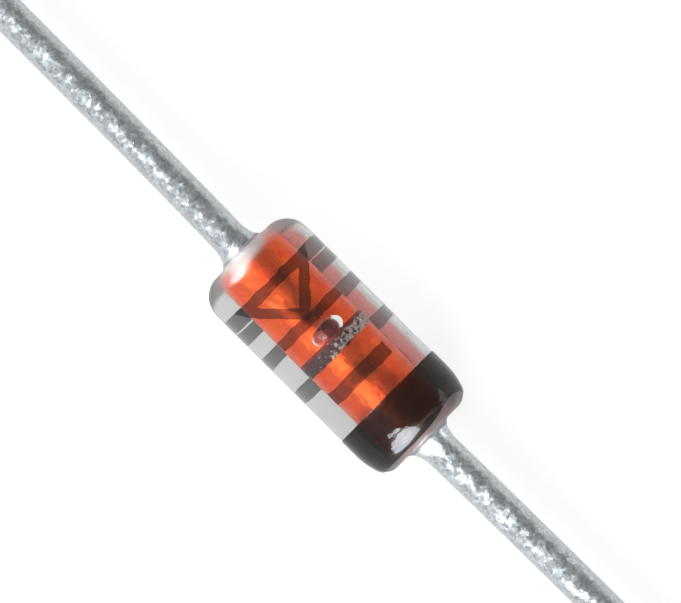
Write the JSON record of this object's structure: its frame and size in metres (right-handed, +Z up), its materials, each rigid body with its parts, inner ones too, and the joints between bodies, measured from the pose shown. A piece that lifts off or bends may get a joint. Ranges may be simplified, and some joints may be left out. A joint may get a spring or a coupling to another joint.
{
  "type": "schottky diode",
  "caption": "Axial glass diode: a chip clamped between orange plugs in a fused glass sleeve, with tinned wire leads and a black cathode band.",
  "frame": {"origin": "middle of the glass body, on the axis of the leads", "axes": "+X along the axis, out of the cathode lead at the banded end; +Z up"},
  "size_m": [0.0576, 0.0018, 0.0018],
  "materials": {
    "tinned_wire": "hot-dip tinned, spangled",
    "borated_plug": "satin orange oxide",
    "plated_silver": "satin plated",
    "silicon": "sawn and etched",
    "lead_glass": "clear, fire-polished",
    "band_paint": "gloss black"
  },
  "bodies": {
    "root": {"anode_lead": "tinned_wire", "anode_plug": "borated_plug", "silver_bump": "plated_silver", "silicon_die": "silicon", "cathode_plug": "borated_plug", "cathode_lead": "tinned_wire", "glass_sleeve": "lead_glass", "cathode_band": "band_paint"}
  },
  "joints": []
}
